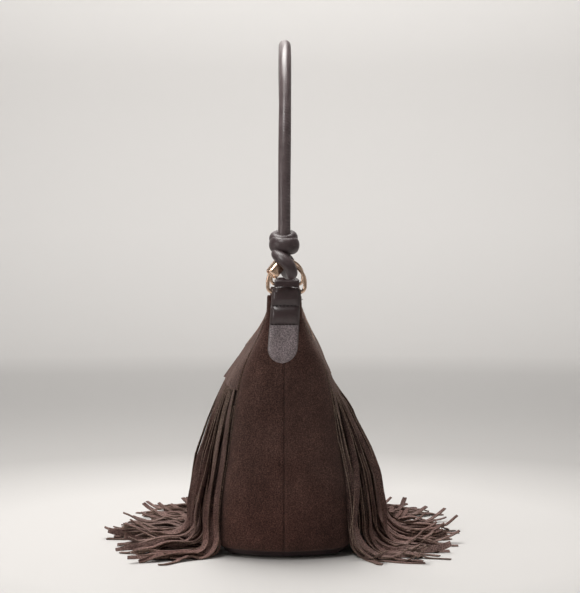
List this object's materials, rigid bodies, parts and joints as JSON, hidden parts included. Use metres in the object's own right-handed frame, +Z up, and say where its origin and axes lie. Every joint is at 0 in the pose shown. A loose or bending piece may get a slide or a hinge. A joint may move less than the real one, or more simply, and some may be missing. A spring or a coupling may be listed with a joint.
{
  "type": "fringed suede hobo bag",
  "caption": "Soft suede hobo bag on a leather base, with long layered fringe on both faces and a rolled leather handle knotted to metal D-rings.",
  "frame": {"origin": "centre of the underside, on the surface the bag stands on", "axes": "+Z up, +X along the bag's length towards the near end, -Y out of the front face"},
  "size_m": [0.358, 0.41, 0.559],
  "materials": {
    "suede": "dark brown napped suede",
    "fringe_suede": "napped suede strips with raw cut edges",
    "leather": "smooth satin dark brown leather",
    "gold_metal": "polished pale gold",
    "lining_cloth": "plain woven cotton",
    "board": "bonded fibre board",
    "snap_metal": "satin metal"
  },
  "bodies": {
    "bag": {"front_panel": "suede", "back_panel": "suede", "leather_base": "leather", "base_stiffener": "board", "mouth_facing": "suede", "lining": "lining_cloth", "slip_pocket": "lining_cloth", "snap_socket": "snap_metal", "snap_stud": "snap_metal", "near_tab": "leather", "far_tab": "leather", "front_fringe_lower": "fringe_suede", "front_fringe_middle": "fringe_suede", "front_fringe_upper": "fringe_suede", "back_fringe_lower": "fringe_suede", "back_fringe_middle": "fringe_suede", "back_fringe_upper": "fringe_suede"},
    "near_ring": {"near_ring": "gold_metal"},
    "far_ring": {"far_ring": "gold_metal"},
    "handle": {"handle": "leather", "near_end_cap": "gold_metal", "far_end_cap": "gold_metal"}
  },
  "joints": [
    {"name": "near_ring_swing", "type": "hinge", "parent": "bag", "child": "near_ring", "pos_m": [0.1502, 0, 0.28], "axis": [0, 1, 0], "range_deg": [-30, 30]},
    {"name": "far_ring_swing", "type": "hinge", "parent": "bag", "child": "far_ring", "pos_m": [-0.1502, 0, 0.28], "axis": [0, 1, 0], "range_deg": [-30, 30]},
    {"name": "handle_sway", "type": "hinge", "parent": "near_ring", "child": "handle", "pos_m": [0.1502, 0, 0.3094], "axis": [0, 1, 0], "range_deg": [-30, 30]}
  ],
  "couplings": [
    {"joint": "far_ring_swing", "follows": "near_ring_swing", "ratio": 1},
    {"joint": "handle_sway", "follows": "near_ring_swing", "ratio": -1}
  ]
}
